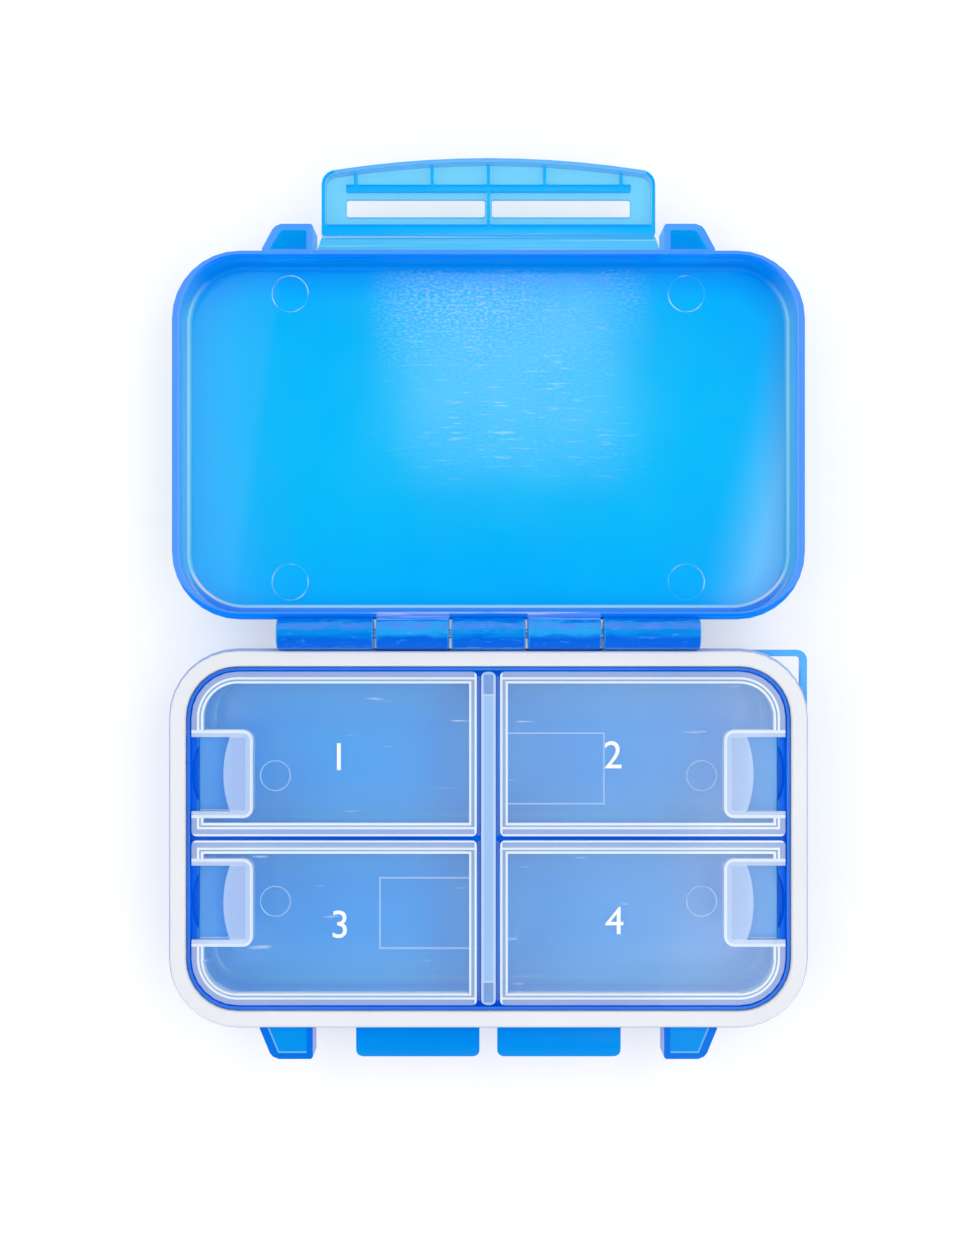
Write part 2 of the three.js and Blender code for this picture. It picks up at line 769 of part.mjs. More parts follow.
function makeFlap() {
  const plateTop = flapBottom + FLAP_PLATE;
  let body = loft([
    [flapOutline(0.3, 0.3), flapBottom],
    [flapOutline(0, 0), flapBottom + 0.3],
    [flapOutline(0, 0), flapTop],
  ]);
  body = body.subtract(prism(flapOutline(FLAP_WALL, FLAP_ROOT_WALL), plateTop, flapTop + 1));

  // Ribs behind the windows
  const windowX0 = CATCH_START - WINDOW_CLEAR_MIDDLE;
  const windowX1 = CATCH_END + WINDOW_CLEAR_END;
  const railY = flapRoot + windowEnd + FLAP_RAIL + 0.1;
  const tipY = flapRoot + FLAP_REACH;
  const ribTop = flapTop - 1;
  const rail = box(-windowX1, windowX1, railY, railY + FLAP_RAIL, flapBottom + 0.5, ribTop);
  body = body.add(rail);
  const room = prism(flapOutline(FLAP_WALL / 2, FLAP_WALL), flapBottom + 0.5, flapTop);
  for (const x of [-22.4, -9.5, 0, 9.5, 22.4]) {
    const from = x === 0 ? flapRoot + 1 : railY + 0.5;
    const rib = box(x - FLAP_RIB / 2, x + FLAP_RIB / 2, from, tipY, flapBottom + 0.5, ribTop);
    body = body.add(rib.intersect(room));
  }

  // Windows that the catch blocks snap into
  const y0 = flapRoot + windowStart;
  const y1 = flapRoot + windowEnd;
  const window = rounded(windowX0, windowX1, y0, y1, WINDOW_CORNER, 3);
  return body.subtract(pair(prism(window, flapBottom - 1, flapTop + 1)));
}

function makeLatchFilm() {
  const clear = 0.15;
  const lidSide = FLAP_HALF + 0.7;
  const flapSide = FLAP_HALF - 0.1;
  const points = [
    [-lidSide, lidFront + clear],
    [lidSide, lidFront + clear],
    [flapSide, flapRoot - clear],
    [-flapSide, flapRoot - clear],
  ];
  return prism(points, flapTop - FILM_THICKNESS, flapTop);
}

// Materials and meshes

function look(name, color, roughness) {
  const material = new THREE.MeshStandardMaterial({ color, roughness, metalness: 0 });
  material.name = name;
  return material;
}

const looks = {
  base: () => look("translucent_blue_base", 0x0f86e0, 0.35),
  lid: () => look("translucent_blue_lid", 0x2aa8f5, 0.3),
  clear: () => look("clear_plastic", 0xc4dcf5, 0.25),
  rubber: () => look("white_rubber", 0xf3f3f5, 0.7),
  steel: () => new THREE.MeshStandardMaterial({ color: 0xb9bdc2, roughness: 0.35, metalness: 1 }),
};

// A mesh with flat faces from a solid.
function mesh(name, body, material) {
  const { vertProperties, triVerts } = body.getMesh();
  const joined = new THREE.BufferGeometry();
  joined.setAttribute("position", new THREE.BufferAttribute(new Float32Array(vertProperties), 3));
  joined.setIndex(new THREE.BufferAttribute(new Uint32Array(triVerts), 1));
  const geometry = joined.toNonIndexed();
  geometry.computeVertexNormals();
  const made = new THREE.Mesh(geometry, material);
  made.name = name;
  return made;
}

// The organizer: the base with what stays in it, the open lid with its latch, the inner lids
const organizer = new THREE.Group();
organizer.name = "pill_organizer";

const baseGroup = new THREE.Group();
baseGroup.name = "base";
baseGroup.add(mesh("base_shell", makeBase(), looks.base()));
baseGroup.add(mesh("gasket", makeSeal(), looks.rubber()));
const pinEnd = outerEnd - 0.5;
baseGroup.add(mesh("hinge_pin", hingeBar(PIN_RADIUS, -pinEnd, pinEnd, 16), looks.steel()));
baseGroup.add(mesh("divider_spine", makeSpine(), looks.clear()));
organizer.add(baseGroup);

const lidGroup = new THREE.Group();
lidGroup.name = "lid";
lidGroup.add(mesh("lid_shell", makeLid(), looks.lid()));
lidGroup.add(mesh("latch_film", makeLatchFilm(), looks.lid()));
lidGroup.add(mesh("latch_flap", makeFlap(), looks.lid()));
organizer.add(lidGroup);

// Inner lids and their films, numbered from the back left to the front right
const quarters = [
  [-1, 1],
  [1, 1],
  [-1, -1],
  [1, -1],
];
const innerLid = makeInnerLid();
const innerFilm = makeInnerFilm();
quarters.forEach(([signX, signY], i) => {
  const lid = mirrored(innerLid, signX, signY);
  const film = mirrored(innerFilm, signX, signY);
  organizer.add(mesh("compartment_lid_" + (i + 1), lid, looks.clear()));
  organizer.add(mesh("lid_film_" + (i + 1), film, looks.clear()));
});

export default organizer;
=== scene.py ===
"""Pill organizer with four compartments, its main lid swung fully open."""
import bpy
import math
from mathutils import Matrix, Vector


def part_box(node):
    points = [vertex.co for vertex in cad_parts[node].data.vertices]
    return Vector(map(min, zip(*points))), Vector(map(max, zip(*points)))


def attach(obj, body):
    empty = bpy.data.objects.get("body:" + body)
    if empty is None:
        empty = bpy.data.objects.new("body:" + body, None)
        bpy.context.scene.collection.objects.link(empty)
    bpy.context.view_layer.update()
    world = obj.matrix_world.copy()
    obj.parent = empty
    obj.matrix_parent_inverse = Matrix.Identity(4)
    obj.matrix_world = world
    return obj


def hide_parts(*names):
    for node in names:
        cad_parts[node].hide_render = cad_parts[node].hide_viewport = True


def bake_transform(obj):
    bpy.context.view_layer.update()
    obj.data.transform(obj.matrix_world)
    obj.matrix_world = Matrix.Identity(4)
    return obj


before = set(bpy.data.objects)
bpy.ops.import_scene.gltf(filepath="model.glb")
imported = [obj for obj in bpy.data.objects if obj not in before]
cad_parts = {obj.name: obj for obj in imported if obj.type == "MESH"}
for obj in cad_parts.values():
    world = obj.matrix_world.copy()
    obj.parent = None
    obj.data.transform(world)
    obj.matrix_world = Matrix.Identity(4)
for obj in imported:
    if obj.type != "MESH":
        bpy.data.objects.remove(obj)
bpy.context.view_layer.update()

MM = 0.001
CAMERA_AT = (-1.417 * MM, 36.33 * MM, 363.5 * MM)
LENS_PER_WIDTH = 2070 / 960  # focal length over the width of the picture
SENSOR = 36.0
WHITE = (1.0, 1.0, 1.0, 1)

# Heights and places on the object that the added pieces and looks share
SMALL_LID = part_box("compartment_lid_2")
SMALL_TOP = SMALL_LID[1].z
SMALL_START, SMALL_END = SMALL_LID[0].x, SMALL_LID[1].x
SMALL_NEAR, SMALL_FAR = SMALL_LID[0].y, SMALL_LID[1].y
MAIN_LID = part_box("lid_shell")
LID_HALF_LENGTH = MAIN_LID[1].x
LID_BACK = 36.58 * MM
LID_FRONT = 98.47 * MM
LID_MIDDLE = (LID_BACK + LID_FRONT) / 2
LID_HALF_DEPTH = (LID_FRONT - LID_BACK) / 2
LID_CORNER = 11.4 * MM
LID_SIDE_WALL = 1.3 * MM
LID_RIM = 16.8 * MM
LID_FLOOR = MAIN_LID[0].z + 1.4 * MM
LID_KNUCKLE_SPAN = (6.55 * MM, 18.75 * MM)  # of each of its knuckles along X
BASE_HALF_LENGTH = 53.5 * MM
BASE_HALF_WIDTH = 31.75 * MM
BASE_CORNER = 11.6 * MM
HINGE_Y = BASE_HALF_WIDTH + 2.45 * MM
KNUCKLE_ENDS = (6.15 * MM, *LID_KNUCKLE_SPAN, 19.15 * MM, 35.3 * MM)
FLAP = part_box("latch_flap")


# Getting at meshes

MERGE = 0.002 * MM  # corners closer than this become one
FLAT = math.radians(0.6)  # faces that meet at less than this become one
SHARP = math.radians(35)  # edges that get softened meet at more than this
SMOOTH = math.radians(32)  # faces that meet at less than this are shaded as one
FILM_STEPS = 14


def nothing_selected():
    if bpy.context.object and bpy.context.object.mode != "OBJECT":
        bpy.ops.object.mode_set(mode="OBJECT")
    bpy.ops.object.select_all(action="DESELECT")


def pick(piece):
    nothing_selected()
    piece.select_set(True)
    bpy.context.view_layer.objects.active = piece


def apply_modifiers(piece):
    pick(piece)
    for modifier in list(piece.modifiers):
        bpy.ops.object.modifier_apply(modifier=modifier.name)


def place_applied(piece):
    pick(piece)
    bpy.ops.object.transform_apply(location=True, rotation=True, scale=True)


def declare(piece, body):
    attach(piece, body)
    return piece


def copied_solid(node, name):
    """A copy of a plain solid, with whole flat faces in place of their triangles."""
    piece = bpy.data.objects.new(name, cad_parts[node].data.copy())
    bpy.context.scene.collection.objects.link(piece)
    piece.data.materials.clear()
    pick(piece)
    bpy.ops.object.mode_set(mode="EDIT")
    bpy.ops.mesh.select_all(action="SELECT")
    bpy.ops.mesh.remove_doubles(threshold=MERGE)
    bpy.ops.mesh.dissolve_limited(angle_limit=FLAT)
    bpy.ops.object.mode_set(mode="OBJECT")
    return piece


def finished_moulding(node, name, body, edge):
    """A moulding with softened edges, in the place of its plain solid."""
    piece = copied_solid(node, name)
    bevel = piece.modifiers.new("soft_edges", "BEVEL")
    bevel.width = edge
    bevel.segments = 2
    bevel.limit_method = "ANGLE"
    bevel.angle_limit = SHARP
    apply_modifiers(piece)
    pick(piece)
    bpy.ops.object.shade_smooth_by_angle(angle=SMOOTH)
    level = piece.modifiers.new("level_faces", "WEIGHTED_NORMAL")
    level.mode = "FACE_AREA"
    level.weight = 100
    level.keep_sharp = True
    apply_modifiers(piece)
    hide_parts(node)
    return declare(piece, body)


def bending_film(node, name):
    """A film between the mouldings on its two sides, cut into strips across Y, in the place of its
    solid.

    The attribute rest_y keeps where its corners lie along Y at rest, for its fine lines.
    """
    low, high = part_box(node)
    film = copied_solid(node, name)
    pick(film)
    bpy.ops.object.mode_set(mode="EDIT")
    for step in range(1, FILM_STEPS):
        bpy.ops.mesh.select_all(action="SELECT")
        bpy.ops.mesh.bisect(plane_co=low.lerp(high, step / FILM_STEPS), plane_no=(0, 1, 0))
    bpy.ops.object.mode_set(mode="OBJECT")
    pick(film)
    bpy.ops.object.shade_smooth_by_angle(angle=SMOOTH)
    rest = film.data.attributes.new("rest_y", "FLOAT", "POINT")
    rest.data.foreach_set("value", [corner.co.y for corner in film.data.vertices])
    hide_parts(node)
    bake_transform(film)
    return film


def paint(piece, *materials):
    piece.data.materials.clear()
    for material in materials:
        piece.data.materials.append(material)
    return piece


def paint_zones(piece, looks, zone_of):
    """Gives each face the look of the zone that zone_of names from its middle and normal."""
    paint(piece, *looks.values())
    place_of = {zone: place for place, zone in enumerate(looks)}
    for face in piece.data.polygons:
        face.material_index = place_of[zone_of(face.center, face.normal)]
    return piece


# Nodes that the materials are made of

def new_material(name):
    material = bpy.data.materials.new(name)
    material.use_nodes = True
    tree = material.node_tree
    for node in list(tree.nodes):
        tree.nodes.remove(node)
    output = tree.nodes.new("ShaderNodeOutputMaterial")
    return material, tree, output


def srgb(red, green, blue):
    def linear(value):
        value /= 255
        return value / 12.92 if value <= 0.04045 else ((value + 0.055) / 1.055) ** 2.4
    return (linear(red), linear(green), linear(blue), 1.0)


def object_place(tree, scale=(1, 1, 1)):
    place = tree.nodes.new("ShaderNodeTexCoord")
    mapping = tree.nodes.new("ShaderNodeMapping")
    mapping.inputs["Scale"].default_value = scale
    tree.links.new(place.outputs["Object"], mapping.inputs["Vector"])
    return mapping.outputs["Vector"]


def place_parts(tree):
    parts = tree.nodes.new("ShaderNodeSeparateXYZ")
    tree.links.new(object_place(tree), parts.inputs["Vector"])
    return parts.outputs["X"], parts.outputs["Y"], parts.outputs["Z"]


def cloudy(tree, scale, detail=3.0, stretch=(1, 1, 1)):
    noise = tree.nodes.new("ShaderNodeTexNoise")
    noise.inputs["Scale"].default_value = scale
    noise.inputs["Detail"].default_value = detail
    tree.links.new(object_place(tree, stretch), noise.inputs["Vector"])
    return noise.outputs["Fac"]


def ramp(tree, value, low, high, out_low, out_high):
    spread = tree.nodes.new("ShaderNodeMapRange")
    spread.inputs["From Min"].default_value = low
    spread.inputs["From Max"].default_value = high
    spread.inputs["To Min"].default_value = out_low
    spread.inputs["To Max"].default_value = out_high
    tree.links.new(value, spread.inputs["Value"])
    return spread.outputs["Result"]


def number(tree, operation, *values):
    """The result of a calculation on sockets and plain numbers."""
    node = tree.nodes.new("ShaderNodeMath")
    node.operation = operation
    for socket, value in zip(node.inputs, values):
        if isinstance(value, bpy.types.NodeSocket):
            tree.links.new(value, socket)
        else:
            socket.default_value = value
    return node.outputs["Value"]


def strongest(tree, *values):
    result = values[0]
    for value in values[1:]:
        result = number(tree, "MAXIMUM", result, value)
    return result


def all_of(tree, *values):
    """The product of shares, which is nothing where one of them is nothing."""
    result = values[0]
    for value in values[1:]:
        result = number(tree, "MULTIPLY", result, value)
    return result


def square_sum(tree, one, other):
    return number(tree, "ADD", all_of(tree, one, one), all_of(tree, other, other))


def blended(tree, factor, one, other):
    mix = tree.nodes.new("ShaderNodeMix")
    mix.data_type = "RGBA"
    for name, value in (("A", one), ("B", other)):
        if isinstance(value, bpy.types.NodeSocket):
            tree.links.new(value, mix.inputs[name])
        else:
            mix.inputs[name].default_value = value
    tree.links.new(factor, mix.inputs["Factor"])
    return mix.outputs["Result"]


def line_at(tree, distance, place, width):
    return number(tree, "COMPARE", distance, place, width / 2)


def window(tree, value, low, high, soft):
    """One between low and high, falling to nothing over soft on both sides."""
    rise = ramp(tree, value, low - soft, low + soft, 0.0, 1.0)
    fall = ramp(tree, value, high - soft, high + soft, 1.0, 0.0)
    return all_of(tree, rise, fall)


def corner_distance(tree, right, up, radius):
    """Distance outside a rounded corner, from how far a point is right of and above it."""
    across = number(tree, "ADD", right, radius)
    along = number(tree, "ADD", up, radius)
    x = number(tree, "MAXIMUM", across, 0.0)
    y = number(tree, "MAXIMUM", along, 0.0)
    inside = number(tree, "MINIMUM", number(tree, "MAXIMUM", across, along), 0.0)
    outside = number(tree, "SQRT", square_sum(tree, x, y))
    return number(tree, "SUBTRACT", number(tree, "ADD", outside, inside), radius)


# Materials

PLASTIC_IOR = 1.49
CLOUD_SCALE = 45.0  # of the two shades of a plastic
GRAIN_SCALE = 160.0  # of its roughness
WAVE_SCALE = 220.0  # of the waves in its surface
WAVE_DEPTH = 0.1 * MM


class Plastic:
    """Moulded plastic: its colour and roughness can be changed before it is finished."""

    def __init__(self, name, colour, other, roughness, wave):
        self.material, self.tree, self.output = new_material(name)
        tree = self.tree
        self.shader = tree.nodes.new("ShaderNodeBsdfPrincipled")
        self.shader.inputs["IOR"].default_value = PLASTIC_IOR
        uneven = ramp(tree, cloudy(tree, CLOUD_SCALE), 0.35, 0.65, 0.0, 1.0)
        self.colour = blended(tree, uneven, colour, other)
        grain = cloudy(tree, GRAIN_SCALE, 4.0)
        self.roughness = ramp(tree, grain, 0.3, 0.7, roughness * 0.85, roughness * 1.2)
        bump = tree.nodes.new("ShaderNodeBump")
        bump.inputs["Strength"].default_value = wave
        bump.inputs["Distance"].default_value = WAVE_DEPTH
        tree.links.new(cloudy(tree, WAVE_SCALE, 3.0), bump.inputs["Height"])
        tree.links.new(bump.outputs["Normal"], self.shader.inputs["Normal"])

    def shine(self, level):
        self.shader.inputs["Specular IOR Level"].default_value = level

    def add_colour(self, factor, colour):
        self.colour = blended(self.tree, factor, self.colour, colour)

    def add_roughness(self, factor, most):
        rougher = all_of(self.tree, factor, most)
        self.roughness = number(self.tree, "ADD", self.roughness, rougher)

    def finish(self, tint=None, solid=1.0):
        """Solid is the share of light that stays on the surface, the rest passes tinted."""
        tree = self.tree
        tree.links.new(self.colour, self.shader.inputs["Base Color"])
        tree.links.new(self.roughness, self.shader.inputs["Roughness"])
        if tint is None:
            tree.links.new(self.shader.outputs["BSDF"], self.output.inputs["Surface"])
            return self.material
        clear = tree.nodes.new("ShaderNodeBsdfTransparent")
        clear.inputs["Color"].default_value = tint
        mix = tree.nodes.new("ShaderNodeMixShader")
        if isinstance(solid, bpy.types.NodeSocket):
            tree.links.new(solid, mix.inputs["Fac"])
        else:
            mix.inputs["Fac"].default_value = solid
        tree.links.new(clear.outputs["BSDF"], mix.inputs[1])
        tree.links.new(self.shader.outputs["BSDF"], mix.inputs[2])
        tree.links.new(mix.outputs["Shader"], self.output.inputs["Surface"])
        return self.material


def tinted_plastic(name, colour, other, tint, solid, shine=0.5):
    plastic = Plastic(name, srgb(*colour), srgb(*other), 0.12, 0.03)
    plastic.shine(shine)
    return plastic.finish(tint, solid)


def solid_plastic(name, colour, other, roughness, wave):
    return Plastic(name, srgb(*colour), srgb(*other), roughness, wave).finish()


LID_TINT = (0.02, 0.8, 1.0, 1)
LUG_TINT = (0.0, 0.72, 1.0, 1)
BASE_TINT = (0.0, 0.45, 1.0, 1)
FLAP_TINT = (0.49, 0.9, 1.0, 1)
CLEAR_TINT = (0.99, 0.995, 1.0, 1)

# Patch in the middle of the inside of the main lid where the top lamp's reflection falls, with fine
# scratch lines along X: real wear, painted lighter there as a painted highlight
GLARE_WEAR_X = (-17 * MM, 25 * MM)
GLARE_WEAR_Y = (62 * MM, 96 * MM)
GLARE_WEAR_SOFT = 4 * MM


def worn_patch(tree, x, y, z):
    """How much wear the inside of the main lid shows where the top lamp's reflection falls, and how
    scratched and scuffed the lid is; the scratched places inside are painted lighter as a painted
    highlight.
    """
    on_floor = number(tree, "LESS_THAN", z, LID_FLOOR + 0.1 * MM)
    outside = number(tree, "LESS_THAN", z, LID_FLOOR - 0.1 * MM)
    wear_and_glare = all_of(
        tree,
        window(tree, x, *GLARE_WEAR_X, GLARE_WEAR_SOFT),
        window(tree, y, *GLARE_WEAR_Y, GLARE_WEAR_SOFT),
        on_floor,
        ramp(tree, cloudy(tree, 70.0, 5.0), 0.3, 0.6, 0.0, 1.0),
        number(tree, "SUBTRACT", 1.0, outside),
    )
    fine = ramp(tree, cloudy(tree, 1.0, 2.0, (1400, 2800, 1)), 0.46, 0.66, 0.0, 1.0)
    coarse = ramp(tree, cloudy(tree, 1.0, 2.0, (220, 1900, 1)), 0.6, 0.7, 0.0, 1.0)
    near_latch = ramp(tree, y, 76 * MM, 90 * MM, 0.2, 1.0)
    scratch_glints = strongest(tree, all_of(tree, fine, near_latch), coarse)
    scuffs = ramp(tree, cloudy(tree, 1.0, 3.0, (500, 180, 1)), 0.62, 0.72, 0.0, 0.3)
    shown = strongest(tree, all_of(tree, wear_and_glare, scratch_glints), all_of(tree, outside, scuffs))
    return wear_and_glare, shown


def lid_outline(tree, x, y):
    """How far inside the outline of the main lid a place is, and which way it faces there.

    Facing is 1 where the outline faces the latch, 0 at the sides and -1 at the hinge.
    """
    off = number(tree, "SUBTRACT", y, LID_MIDDLE)
    right = number(tree, "SUBTRACT", number(tree, "ABSOLUTE", x), LID_HALF_LENGTH)
    up = number(tree, "SUBTRACT", number(tree, "ABSOLUTE", off), LID_HALF_DEPTH)
    inset = number(tree, "MULTIPLY", corner_distance(tree, right, up, LID_CORNER), -1.0)
    across = number(tree, "MAXIMUM", number(tree, "ADD", right, LID_CORNER), 0.0)
    along = number(tree, "MAXIMUM", number(tree, "ADD", up, LID_CORNER), 0.0)
    distance = number(tree, "SQRT", square_sum(tree, across, along))
    facing = number(tree, "DIVIDE", along, distance)
    return inset, all_of(tree, facing, number(tree, "SIGN", off))


# Sheen on the floor of the main lid: how far along Y its edges run, and where along X they lie
SHEEN_RIGHT = (39.9 * MM, 86.3 * MM, 34.6 * MM, 46.6 * MM)
SHEEN_LEFT = (41.7 * MM, 94.8 * MM, -43.5 * MM, -35.8 * MM)
SHEEN_RISE = 10 * MM
SHEEN_SOFT = 0.8 * MM

# Parts of its rounded outline, as distances inside it
FRONT_SHADE = (2.3 * MM, 7.5 * MM)
FLOOR_INSET = 2.0 * MM
FILLET = (0.95 * MM, 2.3 * MM)
RIM_INSET = 1.35 * MM
OUTER_LINE = (0.02 * MM, 0.2 * MM)
INNER_LINE = (1.08 * MM, 1.3 * MM)
CRISP = 0.04 * MM


def lid_plastic(name, shine):
    """The main lid, with a painted shade of the front wall on the floor, painted sheen beside the
    side walls, and painted light and highlights on its walls, fillet and rim.
    """
    plastic = Plastic(name, srgb(0, 190, 255), srgb(2, 195, 255), 0.1, 0.02)
    plastic.shine(shine)
    tree = plastic.tree
    x, y, z = place_parts(tree)
    inset, facing = lid_outline(tree, x, y)
    to_latch = ramp(tree, facing, 0.15, 0.8, 0.0, 1.0)
    to_hinge = ramp(tree, facing, -0.3, -0.85, 0.0, 1.0)
    to_side = number(tree, "SUBTRACT", 1.0, number(tree, "ABSOLUTE", facing))
    above = number(tree, "GREATER_THAN", z, LID_FLOOR - 0.1 * MM)

    # Shade of the front wall on the floor
    shade = ramp(tree, inset, *FRONT_SHADE, 1.0, 0.0)
    plastic.add_colour(all_of(tree, shade, to_latch, above), srgb(0, 176, 255))

    # Sheen beside the side walls, wider towards the hinge on the right
    past_right = number(tree, "SUBTRACT", x, ramp(tree, y, *SHEEN_RIGHT))
    right = ramp(tree, past_right, 0.0, SHEEN_RISE, 0.0, 1.0)
    past_left = number(tree, "SUBTRACT", ramp(tree, y, *SHEEN_LEFT), x)
    left = ramp(tree, past_left, -SHEEN_SOFT, SHEEN_SOFT, 0.0, 0.09)
    sheen = strongest(tree, all_of(tree, right, right), left)
    on_floor = all_of(tree, above, number(tree, "GREATER_THAN", inset, FLOOR_INSET))
    plastic.add_colour(all_of(tree, sheen, on_floor), srgb(112, 212, 255))

    # Walls and fillet, with painted light: paler towards the sides, deeper towards the latch,
    # purplish towards the hinge
    wall = blended(tree, to_latch, srgb(100, 200, 255), srgb(0, 158, 255))
    wall = blended(tree, to_hinge, wall, srgb(62, 150, 255))
    inside = window(tree, inset, *FILLET, CRISP)
    plastic.add_colour(all_of(tree, inside, above), wall)
    # Painted highlight line along the foot of the walls, whitest at the corners by the hinge and
    # fading towards the latch
    line_place = ramp(tree, facing, -1.0, -0.3, 2.25 * MM, 1.7 * MM)
    off_line = number(tree, "ABSOLUTE", number(tree, "SUBTRACT", inset, line_place))
    glow = ramp(tree, off_line, 0.1 * MM, 0.34 * MM, 1.0, 0.0)
    low = number(tree, "LESS_THAN", z, LID_FLOOR + 1 * MM)
    fade = number(tree, "SUBTRACT", 1.0, to_latch)
    corner = window(tree, facing, -0.95, -0.4, 0.12)
    fillet_highlight_colour = blended(tree, corner, srgb(160, 243, 255), srgb(240, 250, 255))
    plastic.add_colour(all_of(tree, glow, low, above, fade), fillet_highlight_colour)

    # Rim, with painted light: pale where its top faces the sides and at the webs of the knuckles,
    # deep elsewhere, with pale painted reflections of the hinge in streaks near the webs
    along_rim = number(tree, "DIVIDE", inset, LID_SIDE_WALL)
    bend = number(tree, "ADD", all_of(tree, facing, 0.15), -0.65)
    away = all_of(tree, number(tree, "ADD", along_rim, bend), facing)
    lit = number(tree, "SUBTRACT", all_of(tree, to_side, 0.5), away)
    lit = ramp(tree, lit, -0.08, 0.06, 0.0, 1.0)
    off_middle = number(tree, "ABSOLUTE", x)
    at_web = all_of(tree, window(tree, off_middle, *LID_KNUCKLE_SPAN, 0.1 * MM), to_hinge)
    lit = strongest(tree, lit, at_web)
    rim = blended(tree, lit, srgb(0, 128, 255), srgb(82, 152, 255))
    streaks = ramp(tree, cloudy(tree, 1.0, 2.0, (90, 1600, 900)), 0.46, 0.6, 0.0, 0.75)
    near_web = window(tree, off_middle, 0.0, 20 * MM, 2 * MM)
    streaks = all_of(tree, streaks, near_web, lit, to_hinge)
    rim = blended(tree, streaks, rim, srgb(190, 200, 255))
    on_rim = number(tree, "GREATER_THAN", z, LID_RIM - 0.5 * MM)
    on_rim = all_of(tree, on_rim, number(tree, "LESS_THAN", inset, RIM_INSET))
    plastic.add_colour(on_rim, rim)
    # Painted highlight lines along the rim's edges: a cyan one outside on the side of the hinge, a
    # pale one inside at the sides
    outer_line = window(tree, inset, *OUTER_LINE, CRISP)
    plastic.add_colour(all_of(tree, on_rim, outer_line, to_hinge, 0.7), srgb(40, 170, 255))
    inner_line = window(tree, inset, *INNER_LINE, CRISP)
    plastic.add_colour(all_of(tree, on_rim, inner_line, to_side, 0.6), srgb(135, 190, 255))

    # Scratch lines inside, real wear painted lighter as a painted highlight where the top lamp's
    # reflection falls; faint scuffs outside
    wear_and_glare, scratch_glints = worn_patch(tree, x, y, z)
    plastic.add_colour(all_of(tree, scratch_glints, 0.45), srgb(185, 232, 255))
    plastic.add_roughness(wear_and_glare, 0.05)
    return plastic.finish(LID_TINT, 0.88)


def knuckle_plastic(name, colour, other, tint, solid):
    """Plastic of the hinge, with painted light in patches on the lid's side, painted shade towards
    the base and along its far edge, faint lighter streaks, and painted highlights at the ends of
    the knuckles.
    """
    plastic = Plastic(name, srgb(*colour), srgb(*other), 0.18, 0.04)
    plastic.shine(0.06)
    tree = plastic.tree
    across, along, _ = place_parts(tree)
    off = number(tree, "SUBTRACT", along, HINGE_Y)
    uneven = ramp(tree, cloudy(tree, 1.0, 3.0, (260, 900, 900)), 0.3, 0.7, -0.35 * MM, 0.35 * MM)
    off = number(tree, "ADD", off, uneven)
    # Painted light, in patches, on the side towards the lid
    lit = window(tree, off, 0.8 * MM, 1.8 * MM, 0.3 * MM)
    patches = ramp(tree, cloudy(tree, 1.0, 3.0, (420, 500, 500)), 0.35, 0.65, 0.25, 0.9)
    plastic.add_colour(all_of(tree, lit, patches), srgb(88, 136, 240))
    # Painted shade towards the base and along the far edge
    deep = strongest(
        tree,
        ramp(tree, off, 0.2 * MM, -0.8 * MM, 0.0, 1.0),
        ramp(tree, off, 1.9 * MM, 2.3 * MM, 0.0, 0.8),
    )
    plastic.add_colour(deep, srgb(0, 102, 228))
    streaks = ramp(tree, cloudy(tree, 1.0, 4.0, (500, 1800, 1800)), 0.6, 0.75, 0.0, 0.4)
    plastic.add_colour(streaks, srgb(100, 180, 250))
    # Painted highlights at the ends of the knuckles
    ends = [line_at(tree, number(tree, "ABSOLUTE", across), end, 0.5 * MM) for end in KNUCKLE_ENDS]
    plastic.add_colour(all_of(tree, strongest(tree, *ends), 0.5), srgb(60, 175, 250))
    return plastic.finish(tint, solid)


# Hollow of the guard lugs of the base, seen through their top
LUG_START = 29.45 * MM
LUG_END = 38.35 * MM
LUG_REACH = 5.35 * MM
LUG_WALL = 1.05 * MM
LUG_SLANT = (0.921, 0.389)  # direction that its outer edge faces


def base_front_plastic():
    """Lugs and catch blocks, with the walls and the lit edge of the hollow in a lug."""
    plastic = Plastic("base_front", srgb(0, 147, 241), srgb(0, 154, 244), 0.14, 0.03)
    plastic.shine(0.07)
    tree = plastic.tree
    across, along, _ = place_parts(tree)
    x = number(tree, "ABSOLUTE", across)
    out = number(tree, "SUBTRACT", -BASE_HALF_WIDTH, along)
    aside = number(tree, "SUBTRACT", x, LUG_END - 1.3 * MM)
    slant = number(
        tree, "ADD", all_of(tree, aside, LUG_SLANT[0]), all_of(tree, out, LUG_SLANT[1])
    )
    inner = number(tree, "SUBTRACT", LUG_START + LUG_WALL, x)
    edge = number(tree, "SUBTRACT", out, LUG_REACH - LUG_WALL)
    from_hollow = strongest(tree, slant, inner, edge)
    on_lug = number(tree, "GREATER_THAN", x, LUG_START - 0.5 * MM)
    wall = all_of(tree, number(tree, "GREATER_THAN", from_hollow, 0.0), on_lug)
    plastic.add_colour(all_of(tree, wall, 0.85), srgb(0, 112, 232))
    glint = line_at(tree, strongest(tree, slant, edge), -0.1 * MM, 0.26 * MM)
    glint = all_of(tree, glint, number(tree, "LESS_THAN", inner, 0.0))
    plastic.add_colour(all_of(tree, glint, 0.55), srgb(150, 215, 255))
    return plastic.finish(BASE_TINT, 0.85)


# Inside of the wells, from the middle of the box
WELL_END = 48.8 * MM
WELL_SIDE = 27.1 * MM
WELL_START = (2.6 * MM, 2.4 * MM)
WELL_CORNER = 9 * MM


